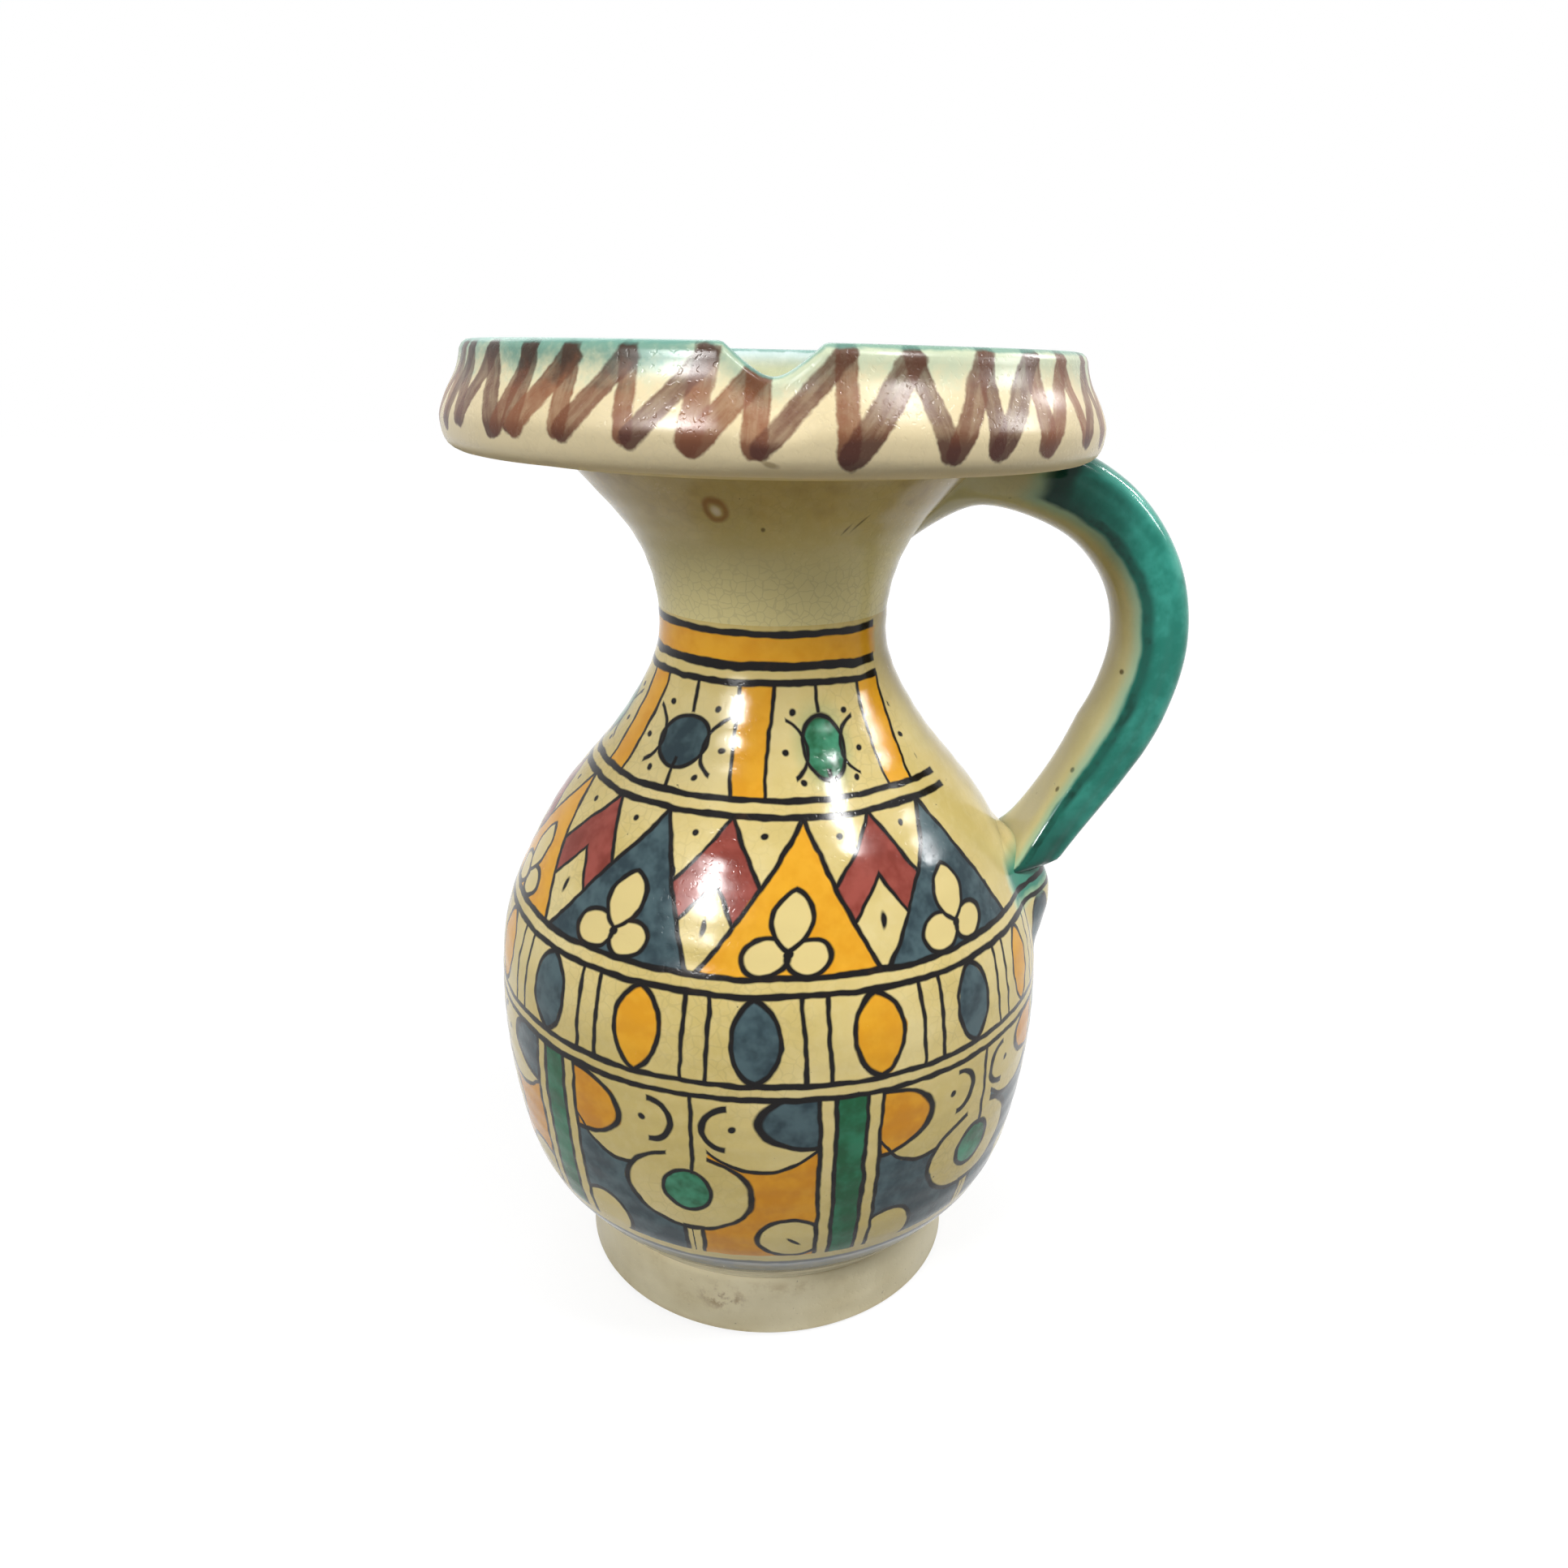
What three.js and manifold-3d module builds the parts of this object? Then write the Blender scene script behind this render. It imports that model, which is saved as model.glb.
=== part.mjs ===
// A wheel-thrown earthenware jug: foot, belly, funnel neck, collar rim with a pouring notch, pulled handle.
// Millimetres, +Z up. Origin at the centre of the flat base, handle towards +X, notch towards -Y.
import * as THREE from 'three';
import { LoftGeometry } from 'three/addons/geometries/LoftGeometry.js';
import { mergeVertices } from 'three/addons/utils/BufferGeometryUtils.js';
import Module from 'manifold-3d';

// Heights, stacked from the base up
const FOOT_HEIGHT = 24;
const BELLY_RISE = 72;
const SHOULDER_RISE = 131;
const FUNNEL_RISE = 42;
const COLLAR_HEIGHT = 31;

// Outer radii
const FOOT_RADIUS = 63.8;
const BELLY_RADIUS = 89;
const WAIST_RADIUS = 35;
const FUNNEL_RADIUS = 59.6;
const COLLAR_RADIUS = 93.5;
const RIM_RADIUS = 87;

// Walls and the joints between thrown pieces
const WALL = 6.5;
const SLIP_GAP = 0.3;
const LAP_HEIGHT = 6;

// Foot
const FLOOR_THICKNESS = 9;
const FOOT_CHAMFER = 1.5;
const FOOT_RING_WALL = 5;
const CREASE_CUT = 1.2;
const CREASE_HEIGHT = 4;
const FLOOR_ROUND = 7;

// Turns of the outer outline: rise is the fraction of the way up, swell the fraction of the way out
const LOWER_BELLY = [{ rise: 0.28, swell: 0.62 }, { rise: 0.57, swell: 0.88 }];
const SHOULDER = [
  { rise: 0.23, swell: 0.955 },
  { rise: 0.39, swell: 0.803 },
  { rise: 0.545, swell: 0.585 },
  { rise: 0.70, swell: 0.274 },
  { rise: 0.86, swell: 0.045 },
];
const FUNNEL = [{ rise: 0.5, swell: 0.27 }];

// Collar
const UNDERSIDE_RISE = 2.5;
const EDGE_ROUND = 7.5;
const DISH_DEPTH = 21;
const DISH_ROUND = 6;
const DISH_SLOPE = 3;

// Pouring notch
const NOTCH_WIDTH = 22.5;
const NOTCH_DEPTH = 7.2;
const NOTCH_SOFTNESS = 0.4;

// Handle
const HANDLE_THICKNESS = 22.4;
const HANDLE_WIDTH = 26;
const HANDLE_SQUARENESS = 2.4;
const GROOVE_DEPTH = 1.4;
const GROOVE_ANGLE = 70;
const GROOVE_SPREAD = 20;
const GRIP_REACH = 27.7;
const GRIP_DROP = 11;
const LOWER_ROOT_RISE = 43;
const LOWER_ROOT_SINK = 4;
const ROOT_FLARE = 0.12;
const UPPER_ROOT_DROP = 6;
const UPPER_ROOT_SINK = 14.5;

// Turns of the handle's centre line, as fractions of the way from each root to the grip, out and in height
const UPPER_GRIP = [
  { out: 0.296, level: -0.11 },
  { out: 0.528, level: -0.03 },
  { out: 0.77, level: 0.185 },
  { out: 0.943, level: 0.56 },
];
const LOWER_GRIP = [
  { out: 0.347, level: 0.253 },
  { out: 0.677, level: 0.513 },
  { out: 0.907, level: 0.747 },
];

// Wads of clay at the handle's roots
const UPPER_WAD_LENGTH = 34;
const LOWER_WAD_RISE = 28;
const LOWER_WAD_HEIGHT = 52;
const LOWER_WAD_WIDTH = 40;
const LOWER_WAD_PROUD = 6;
const LOWER_WAD_SINK = 9;

// Facets
const SEGMENTS = 48;
const BELLY_STEPS = 20;
const NECK_STEPS = 8;
const COLLAR_CURVE_STEPS = 4;
const OUTLINE_STEPS = 240;
const HANDLE_SIDES = 24;
const HANDLE_STEP = 6;
const WAD_SIDES = 20;
const WELD = 1e-4;

const CREASE_Z = FOOT_HEIGHT;
const BELLY_Z = CREASE_Z + BELLY_RISE;
const WAIST_Z = BELLY_Z + SHOULDER_RISE;
const FUNNEL_Z = WAIST_Z + FUNNEL_RISE;
const RIM_Z = FUNNEL_Z + COLLAR_HEIGHT;

const { lerp, degToRad } = THREE.MathUtils;
const wasm = await Module();
wasm.setup();

// Small helpers: points of a profile, and solids to join and cut

const at = (radius, height) => new THREE.Vector2(radius, height);

function heights(low, high, steps) {
  return Array.from({ length: steps + 1 }, (_, i) => lerp(low, high, i / steps));
}

// Points moved square to the line they lie on, outwards for a positive distance
function grow(points, distance) {
  return points.map((point, i) => {
    const before = points[Math.max(i - 1, 0)];
    const after = points[Math.min(i + 1, points.length - 1)];
    const along = after.clone().sub(before).normalize();
    return at(point.x + along.y * distance, point.y - along.x * distance);
  });
}

// Radius of an outline at a height, held at its first and last points
function radiusOf(points) {
  return (height) => {
    const next = points.findIndex((point) => point.y >= height);
    if (next <= 0) return next === 0 ? points[0].x : points.at(-1).x;
    const [low, high] = [points[next - 1], points[next]];
    return lerp(low.x, high.x, (height - low.y) / (high.y - low.y));
  };
}

function solid(geometry) {
  geometry.deleteAttribute('normal');
  geometry.deleteAttribute('uv');
  const welded = mergeVertices(new THREE.BufferGeometry().copy(geometry), WELD);
  const corners = [];
  for (let i = 0; i < welded.index.count; i += 3) {
    const [a, b, c] = welded.index.array.slice(i, i + 3);
    if (a !== b && b !== c && c !== a) corners.push(a, b, c);
  }
  return new wasm.Manifold(new wasm.Mesh({
    numProp: 3,
    vertProperties: welded.attributes.position.array,
    triVerts: new Uint32Array(corners),
  }));
}

function revolve(profile) {
  return solid(new THREE.LatheGeometry(profile, SEGMENTS).rotateX(Math.PI / 2));
}

function piece(name, body, finish) {
  const mesh = body.getMesh();
  const geometry = new THREE.BufferGeometry();
  geometry.setAttribute('position', new THREE.BufferAttribute(mesh.vertProperties, 3));
  geometry.setIndex(new THREE.BufferAttribute(mesh.triVerts, 1));
  geometry.computeVertexNormals();
  const part = new THREE.Mesh(geometry, new THREE.MeshStandardMaterial(finish));
  part.name = name;
  return part;
}

// The outer outline from the crease to the top of the funnel, and the inner one a wall's thickness inside it

function turns(low, high, list, swellsOut) {
  return list.map(({ rise, swell }) => {
    const radius = swellsOut ? lerp(low.x, high.x, swell) : lerp(high.x, low.x, swell);
    return at(radius, lerp(low.y, high.y, rise));
  });
}

const creasePoint = at(FOOT_RADIUS, CREASE_Z);
const bellyPoint = at(BELLY_RADIUS, BELLY_Z);
const waistPoint = at(WAIST_RADIUS, WAIST_Z);
const funnelPoint = at(FUNNEL_RADIUS, FUNNEL_Z);
const outline = new THREE.SplineCurve([
  creasePoint,
  ...turns(creasePoint, bellyPoint, LOWER_BELLY, true),
  bellyPoint,
  ...turns(bellyPoint, waistPoint, SHOULDER, false),
  waistPoint,
  ...turns(waistPoint, funnelPoint, FUNNEL, true),
  funnelPoint,
]).getPoints(OUTLINE_STEPS);
const outerRadius = radiusOf(outline);
const innerRadius = radiusOf(grow(outline, -WALL));
const outer = (height) => at(outerRadius(height), height);
const inner = (height) => at(innerRadius(height), height);

// Foot: a cup with a flat base, whose raised ring stands inside the belly

const ringRadius = innerRadius(CREASE_Z + LAP_HEIGHT) - SLIP_GAP;
const ringTop = CREASE_Z + LAP_HEIGHT - SLIP_GAP;
const cupRadius = ringRadius - FOOT_RING_WALL;

function footProfile() {
  const path = new THREE.Path();
  path.moveTo(0, 0);
  path.lineTo(FOOT_RADIUS - FOOT_CHAMFER, 0);
  path.lineTo(FOOT_RADIUS, FOOT_CHAMFER);
  path.lineTo(FOOT_RADIUS, CREASE_Z - CREASE_HEIGHT);
  path.quadraticCurveTo(FOOT_RADIUS, CREASE_Z - SLIP_GAP, FOOT_RADIUS - CREASE_CUT, CREASE_Z - SLIP_GAP);
  path.lineTo(ringRadius, CREASE_Z - SLIP_GAP);
  path.lineTo(ringRadius, ringTop);
  path.lineTo(cupRadius, ringTop);
  path.lineTo(cupRadius, FLOOR_THICKNESS + FLOOR_ROUND);
  path.quadraticCurveTo(cupRadius, FLOOR_THICKNESS, cupRadius - FLOOR_ROUND, FLOOR_THICKNESS);
  path.lineTo(0, FLOOR_THICKNESS);
  return path.getPoints(COLLAR_CURVE_STEPS);
}

// Belly and neck: the belly's raised inner lip laps into a rebate under the neck

const lapRadius = (outerRadius(WAIST_Z) + innerRadius(WAIST_Z)) / 2;
const lapTop = WAIST_Z + LAP_HEIGHT - SLIP_GAP;
const bellyOuter = heights(CREASE_Z, WAIST_Z - SLIP_GAP, BELLY_STEPS).map(outer);
const neckOuter = heights(WAIST_Z, FUNNEL_Z - SLIP_GAP, NECK_STEPS).map(outer);

const bellyProfile = [
  ...bellyOuter,
  at(lapRadius, WAIST_Z - SLIP_GAP),
  at(lapRadius, lapTop),
  ...heights(lapTop, CREASE_Z + LAP_HEIGHT, BELLY_STEPS).map(inner),
  at(ringRadius + SLIP_GAP, CREASE_Z),
  bellyOuter[0],
];

const neckProfile = [
  ...neckOuter,
  ...heights(FUNNEL_Z - SLIP_GAP, WAIST_Z + LAP_HEIGHT, NECK_STEPS).map(inner),
  at(lapRadius + SLIP_GAP, WAIST_Z + LAP_HEIGHT),
  at(lapRadius + SLIP_GAP, WAIST_Z),
  neckOuter[0],
];

// Collar: a shallow dish seated on the funnel's flat top, with an upright wall that leans in to a rounded rim

const rimRound = WALL / 2;
const edgeZ = FUNNEL_Z + UNDERSIDE_RISE;
const floorZ = RIM_Z - DISH_DEPTH;

function collarOuterPath() {
  const path = new THREE.Path();
  path.moveTo(FUNNEL_RADIUS, FUNNEL_Z);
  path.lineTo(COLLAR_RADIUS - EDGE_ROUND, edgeZ);
  path.quadraticCurveTo(COLLAR_RADIUS, edgeZ, COLLAR_RADIUS, edgeZ + EDGE_ROUND);
  path.lineTo(RIM_RADIUS, RIM_Z - rimRound);
  path.absarc(RIM_RADIUS - rimRound, RIM_Z - rimRound, rimRound, 0, Math.PI / 2);
  return path;
}

function collarInnerPath() {
  const dishRadius = COLLAR_RADIUS - WALL;
  const mouth = inner(FUNNEL_Z);
  const path = new THREE.Path();
  path.absarc(RIM_RADIUS - rimRound, RIM_Z - rimRound, rimRound, Math.PI / 2, Math.PI);
  path.lineTo(dishRadius, floorZ + DISH_ROUND);
  path.quadraticCurveTo(dishRadius, floorZ, dishRadius - DISH_ROUND, floorZ);
  path.lineTo(FUNNEL_RADIUS, floorZ - DISH_SLOPE);
  path.quadraticCurveTo(mouth.x + DISH_ROUND, floorZ - DISH_SLOPE, mouth.x, mouth.y);
  return path;
}

const collarOuter = collarOuterPath().getPoints(COLLAR_CURVE_STEPS);
const collarInner = collarInnerPath().getPoints(COLLAR_CURVE_STEPS);

// A softened V across the front of the collar's wall
function notchCut() {
  const half = NOTCH_WIDTH / 2;
  const tip = NOTCH_DEPTH / (1 - NOTCH_SOFTNESS / 2);
  const shape = new THREE.Shape();
  shape.moveTo(-2 * half, tip);
  shape.lineTo(-NOTCH_SOFTNESS * half, -tip * (1 - NOTCH_SOFTNESS));
  shape.quadraticCurveTo(0, -tip, NOTCH_SOFTNESS * half, -tip * (1 - NOTCH_SOFTNESS));
  shape.lineTo(2 * half, tip);
  shape.closePath();
  const cut = new THREE.ExtrudeGeometry(shape, {
    depth: COLLAR_RADIUS,
    bevelEnabled: false,
    curveSegments: COLLAR_CURVE_STEPS,
  });
  return solid(cut.rotateX(Math.PI / 2).translate(0, 0, RIM_Z));
}

function collar() {
  const profile = [...collarOuter, ...collarInner.slice(1), collarOuter[0]];
  return revolve(profile).subtract(notchCut());
}

// Handle: an oval loft along a curve in the plane y = 0, trimmed to the pot and parted from its two wads

const upperRootZ = FUNNEL_Z - UPPER_ROOT_DROP;
const upperRoot = at(outerRadius(upperRootZ) - UPPER_ROOT_SINK, upperRootZ);
const grip = at(BELLY_RADIUS + GRIP_REACH, WAIST_Z - GRIP_DROP);
const lowerRootZ = BELLY_Z + LOWER_ROOT_RISE;
const lowerRoot = at(outerRadius(lowerRootZ) - LOWER_ROOT_SINK, lowerRootZ);

function bends(root, list) {
  return list.map(({ out, level }) => at(lerp(root.x, grip.x, out), lerp(root.y, grip.y, level)));
}

const handleLine = new THREE.CatmullRomCurve3([
  upperRoot,
  ...bends(upperRoot, UPPER_GRIP),
  grip,
  ...bends(lowerRoot, LOWER_GRIP).reverse(),
  lowerRoot,
].map((point) => new THREE.Vector3(point.x, 0, point.y)));
const handleLength = handleLine.getLength();

// Radius of the section, as a fraction of the plain oval's, with a shallow groove down each side
function grooved(angle) {
  const fromGroove = (Math.abs(angle) - degToRad(GROOVE_ANGLE)) / degToRad(GROOVE_SPREAD);
  return 1 - (2 * GROOVE_DEPTH / HANDLE_WIDTH) * Math.exp(-fromGroove * fromGroove);
}

function handleSection(distance, clearance) {
  const share = distance / handleLength;
  const centre = handleLine.getPointAt(share);
  const along = handleLine.getTangentAt(share);
  const outwards = new THREE.Vector3(-along.z, 0, along.x);
  const fromEnd = Math.min(distance, handleLength - distance) / HANDLE_THICKNESS;
  const flare = 1 + ROOT_FLARE * Math.exp(-fromEnd);
  const round = (value) => Math.sign(value) * Math.abs(value) ** (2 / HANDLE_SQUARENESS);
  return Array.from({ length: HANDLE_SIDES }, (_, i) => {
    const angle = 2 * Math.PI * (i / HANDLE_SIDES) - Math.PI;
    const reach = flare * grooved(angle) / 2;
    const point = centre.clone();
    point.addScaledVector(outwards, (HANDLE_THICKNESS * reach + clearance) * round(Math.cos(angle)));
    point.y -= (HANDLE_WIDTH * reach + clearance) * round(Math.sin(angle));
    return point;
  });
}

function handleLoft(start, end, clearance = 0) {
  const steps = Math.ceil((end - start) / HANDLE_STEP);
  const sections = heights(start, end, steps).map((distance) => handleSection(distance, clearance));
  return solid(new LoftGeometry(sections, { capStart: true, capEnd: true }));
}

const potSkin = [at(0, CREASE_Z), ...bellyOuter, ...neckOuter, ...collarOuter, at(0, RIM_Z)];
const potEnvelope = revolve([potSkin[0], ...grow(potSkin, SLIP_GAP).slice(1, -1), at(0, RIM_Z + SLIP_GAP)]);

function upperWad() {
  return handleLoft(0, UPPER_WAD_LENGTH).subtract(potEnvelope);
}

function handle() {
  return handleLoft(UPPER_WAD_LENGTH + SLIP_GAP, handleLength - SLIP_GAP).subtract(potEnvelope);
}

// An oval pad pressed over the belly, with the handle's end bedded in it
function lowerWad() {
  const wadZ = BELLY_Z + LOWER_WAD_RISE;
  const pad = new THREE.SphereGeometry(1, WAD_SIDES, WAD_SIDES);
  pad.scale(LOWER_WAD_PROUD + LOWER_WAD_SINK, LOWER_WAD_WIDTH / 2, LOWER_WAD_HEIGHT / 2);
  pad.translate(outerRadius(wadZ) - LOWER_WAD_SINK, 0, wadZ);
  const bed = handleLoft(UPPER_WAD_LENGTH, handleLength, SLIP_GAP);
  return solid(pad).subtract(potEnvelope).subtract(bed);
}

// Finishes
const creamGlaze = { color: 0xe1d296, roughness: 0.2, metalness: 0 };
const bareFoot = { color: 0xe4d8bc, roughness: 0.55, metalness: 0 };
const greenGlaze = { color: 0x2a8070, roughness: 0.15, metalness: 0 };

const jug = new THREE.Group();
jug.name = 'jug';
jug.add(
  piece('base_foot', revolve(footProfile()), bareFoot),
  piece('belly', revolve(bellyProfile), creamGlaze),
  piece('neck', revolve(neckProfile), creamGlaze),
  piece('rim_collar', collar(), creamGlaze),
  piece('handle_upper_wad', upperWad(), creamGlaze),
  piece('handle', handle(), greenGlaze),
  piece('handle_lower_wad', lowerWad(), creamGlaze),
);

export default jug;
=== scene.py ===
"""Looks of a hand-painted, glazed earthenware jug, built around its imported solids. Metres, +Z up."""
import math
import random

import bpy
import numpy as np
from mathutils import Matrix, Vector, noise


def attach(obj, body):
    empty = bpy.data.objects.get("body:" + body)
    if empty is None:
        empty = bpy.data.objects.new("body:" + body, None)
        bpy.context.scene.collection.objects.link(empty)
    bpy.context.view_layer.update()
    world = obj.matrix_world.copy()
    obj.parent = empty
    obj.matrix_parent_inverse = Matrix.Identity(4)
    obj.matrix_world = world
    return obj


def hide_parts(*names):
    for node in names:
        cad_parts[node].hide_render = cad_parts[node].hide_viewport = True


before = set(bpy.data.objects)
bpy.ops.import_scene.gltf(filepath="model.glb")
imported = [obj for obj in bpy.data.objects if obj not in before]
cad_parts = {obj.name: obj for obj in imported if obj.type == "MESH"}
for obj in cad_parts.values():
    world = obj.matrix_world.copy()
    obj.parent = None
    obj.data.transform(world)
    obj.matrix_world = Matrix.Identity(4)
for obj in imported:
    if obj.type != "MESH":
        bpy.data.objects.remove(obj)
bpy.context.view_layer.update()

MM = 0.001
DEG = math.pi / 180

# Camera, from the photograph's own perspective
FOCAL_PIXELS = 1400.5
FRAME_PIXELS = 1932
SENSOR_MM = 36
CAMERA_AT = (0.00122, -0.3466, 0.2959)
CAMERA_PITCH = 20.384
CAMERA_YAW = 0.490
CAMERA_ROLL = 0.738

# Lamps: name, direction from the front, height above the horizon, distance, size and watts
LAMPS = (
    ("lamp_left", -32, 36, 1.3, 0.26, 0.36, 7.9),
    ("lamp_right", 54, 52, 1.3, 0.20, 0.34, 6.4),
    ("lamp_side", 92, 27, 1.5, 0.20, 0.40, 4.6),
    ("lamp_above", -10, 84, 1.6, 1.20, 1.20, 9.0),
    ("lamp_back", 200, 38, 1.8, 1.40, 1.20, 8.0),
)
# Small lamps beside them that show only as gleams on the glaze
GLEAMS = (
    ("gleam_left", -31, 35, 1.3, 0.22, 0.36, 13.0),
    ("gleam_left_wide", -34, 33, 1.3, 0.55, 0.60, 10.0),
    ("gleam_left_low", -27, 26, 1.3, 0.08, 0.08, 1.5),
    ("gleam_right", 54, 50, 1.3, 0.12, 0.34, 7.5),
    ("gleam_side", 88, 27, 1.5, 0.10, 0.30, 4.5),
    ("gleam_back", 116, 34, 1.5, 0.12, 0.40, 8.0),
)
SKY_STRENGTH = 0.15
FLOOR_WHITE = 0.24
LAMP_AIM = Vector((0, 0, 0.17))

# Share of a plain dielectric's mirror strength that the glazes keep
GLOSS = 0.2

# Turned meshes
COLUMNS = 240
ROW_STEP = 1.5
CORNER = 38
SEAM_SNAP = 0.5
HAND_WAVE = 0.35
HAND_RING = 0.06
SEAMS = (23.85, 226.85, 268.85)
SEAM_ANGLE = 90

# Collar set a little askew on the neck
COLLAR_TILT = 0.55
COLLAR_ROOT = 60
COLLAR_EDGE = 86

# Handle: centre line (out, up) and section, as the solids have them, in millimetres
HANDLE_LINE = (
    (38.9, 263.0), (61.9, 268.2), (80.0, 264.4), (98.8, 254.3), (112.3, 236.7),
    (116.7, 216.0), (113.1, 196.5), (104.4, 178.5), (91.8, 158.5), (78.5, 139.0),
)
HANDLE_THICKNESS = 22.4
HANDLE_WIDTH = 26
HANDLE_SQUARENESS = 2.4
HANDLE_GROOVE = 1.4
GROOVE_ANGLE = 70
GROOVE_SPREAD = 20
ROOT_FLARE = 0.12
HANDLE_ROWS = 190
HANDLE_SIDES = 72
ROOT_DEPTH = 3.0
ROOT_FILLET = 5
LOWER_FILLET = 0.3
FILLET_REACH = 10
END_LENGTH = 55
END_TAPER = 0.34
INNER_TAPER = 0.7
END_SPREAD = 0.75
LIP_HEIGHT = 147
LIP_SLOPE = 1.5
LIP_START = 5
LIP_SPAN = 9
UNDERSIDE = (269.0, 59.6, 2.5, 26.4)

# Pad of clay under the handle's lower end
PAD_Z = 139
PAD_HALF_WIDTH = 27
PAD_RISE = 19
PAD_FALL = 30
PAD_PROUD = 9.2
PAD_CELLS = 56

# Glazes and colours, as 0 to 255
CREAM = (236, 215, 146)
CREAM_DEEP = (218, 196, 121)
CREAM_PALE = (242, 228, 174)
# Paler, greener glaze for the lower neck: partly its own tint, partly painted light
NECK_OLIVE = (242, 232, 172)
# Painted shade for the top of the neck, under the collar
NECK_PAINTED_SHADE = (150, 118, 72)
OCHRE = (246, 180, 44)
OCHRE_DEEP = (237, 166, 32)
OCHRE_BROWN = (222, 146, 18)
SLATE = (80, 104, 110)
SLATE_DEEP = (46, 66, 74)
BRICK = (168, 82, 70)
BRICK_DEEP = (138, 58, 46)
LEAF = (74, 158, 122)
LEAF_DEEP = (22, 94, 56)
LEAF_BAR = (44, 128, 92)
INK = (17, 13, 12)
INK_THIN = (70, 48, 30)
MANGANESE = (146, 90, 58)
MANGANESE_DEEP = (82, 46, 36)
MANGANESE_BLACK = (46, 34, 24)
TEAL_WASH = (92, 150, 136)
WASH_PALE = (206, 222, 192)
# Greener, greyer cream for the handle: partly a thin green wash, partly painted shade
HANDLE_CREAM = (186, 188, 154)
# Painted shade for the handle's inner side
HANDLE_PAINTED_SHADE = (158, 146, 104)
HANDLE_GREEN = (58, 164, 146)
HANDLE_MID = (34, 136, 118)
HANDLE_DARK = (2, 54, 42)
# Pale green: thin glaze where it bleeds onto the cream, and a painted highlight along the handle's crest
HANDLE_THIN_AND_HIGHLIGHT = (112, 196, 178)
RUN_GREEN = (104, 168, 138)
RUN_PALE = (178, 222, 190)
CLAY = (244, 233, 198)
CLAY_DEEP = (228, 215, 176)
CLAY_DARK = (190, 166, 118)
GREY_BLUE = (138, 148, 156)
BASE_DARK = (70, 76, 78)

# Marks on the neck and foot: direction and height
PIT = (-16.5, 259.7)
PIT_RING = (150, 98, 48)
PIT_CLAY = (236, 222, 190)
SPECK = (-3.1, 254.8)
SCRATCH = (28.9, 256.1)
NECK_STAIN = (150, 120, 78)
NECK_DEGREE = 0.84
FOOT_STAIN = (-12.7, 13.8)
FOOT_SMEAR = (2, 19.0)
FOOT_DEGREE = 1.12
FOOT_GRAIN = (120, 98, 66)
STAIN_BROWN = (150, 116, 68)

# Handle's end on the belly, where its green ran, and specks on its inner side
JOINT_LOW = 140
JOINT_HALF_WIDTH = 28
JOINT_SLOPE = 0.35
HANDLE_DEGREE = 0.21
HANDLE_SPECKS = ((-140, 117), (-134, 154), (-139, 162))

# Painted bands: heights in millimetres on the belly, directions in degrees from the front
PLAIN_STRIP = 88
NECK_LINES = ((224.6, 1.0), (215.2, 1.25), (210.6, 0.95))
NECK_OCHRE = (216.2, 223.9)
NECK_END = 30.5
SHOULDER_LINES = ((182.1, 0.95), (178.4, 0.95))
SHOULDER_END = 25.5
BELLY_LINES = ((141.4, 0.85), (137.1, 0.85), (112.6, 0.85), (108.4, 0.85))
PANEL_PITCH = 53.7
PANEL_START = -7
TRIANGLE_PITCH = 38
TRIANGLE_START = 61
TRIANGLE_LEAN = 5
ALMOND_PITCH = 22.5
ALMOND_START = -2
LOWER_PITCH = 60
LOWER_START = 15.3
LOWER_END = 49.4
FINE = 0.55
SOFT = 0.3

# Collar's brush strokes: peaks and valleys of the zigzag that shows, direction and height
ZIGZAG = (
    (-60, 298), (-57, 281), (-51, 298), (-45, 279), (-40.5, 298), (-41, 280),
    (-31.5, 297), (-31.5, 279.5), (-21.5, 297), (-20.5, 278.5), (-9.5, 297), (-11.5, 277.5),
    (-2, 294), (-2.5, 276.5), (10.5, 298), (10, 275), (20.8, 297), (25.5, 275.5),
    (33.8, 298), (33, 276), (44.3, 298), (44, 276), (53.8, 297), (56.5, 277),
)
STROKE_LAYERS = ("stroke_down", "stroke_up")
STROKE_PITCH = 10.9
STROKE_TOP = 298.5
STROKE_FOOT = 278
STROKE_HALF = 2.9
STROKE_OVERRUN = 2.5
STROKE_SHORT = 2.2
STROKE_SEED = 4
DRIP = (-0.4, 275.6)
DRIP_BROWN = (132, 104, 58)
COLLAR_DEGREE = 1.62
COLLAR_COLUMNS = 480
COLLAR_CREAM = (240, 224, 190)
# Painted highlight for the upper inside of the collar
COLLAR_PAINTED_HIGHLIGHT = (222, 238, 240)

# Pouring notch, cut into the collar's rim
NOTCH_WIDTH = 22.5
NOTCH_DEPTH = 7.2
NOTCH_REACH = 12
NOTCH_ROUND = 0.4
RIM_TOP = 300


# Shapes

def outline(node):
    """Closed outline (radius, height) of a turned solid, in millimetres, walked along its edges behind it."""
    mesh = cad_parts[node].data
    spots = {}
    for vertex in mesh.vertices:
        x, y, z = vertex.co / MM
        if abs(x) < 0.01 and y > -0.01:
            spots[vertex.index] = (round(max(y, 0), 2), round(z, 2))
    links = {}
    for edge in mesh.edges:
        a, b = (spots.get(i) for i in edge.vertices)
        if a and b and a != b:
            links.setdefault(a, set()).add(b)
            links.setdefault(b, set()).add(a)
    start = min(links, key=lambda spot: (spot[1], spot[0]))
    path = [start]
    ahead = max(links[start], key=lambda spot: spot[0])
    while ahead != start:
        path.append(ahead)
        onward = [spot for spot in sorted(links[ahead]) if spot != path[-2] and spot not in path[1:]]
        onward = [spot for spot in onward if spot != start or len(path) > 2]
        if not onward:
            break
        ahead = onward[0]
    return path


def snapped(path):
    """Outline whose ends meet the next piece at the seam, without the slip gap."""
    snap = lambda z: next((seam for seam in SEAMS if abs(z - seam) < SEAM_SNAP), z)
    return [(r, snap(z)) for r, z in path]


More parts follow.
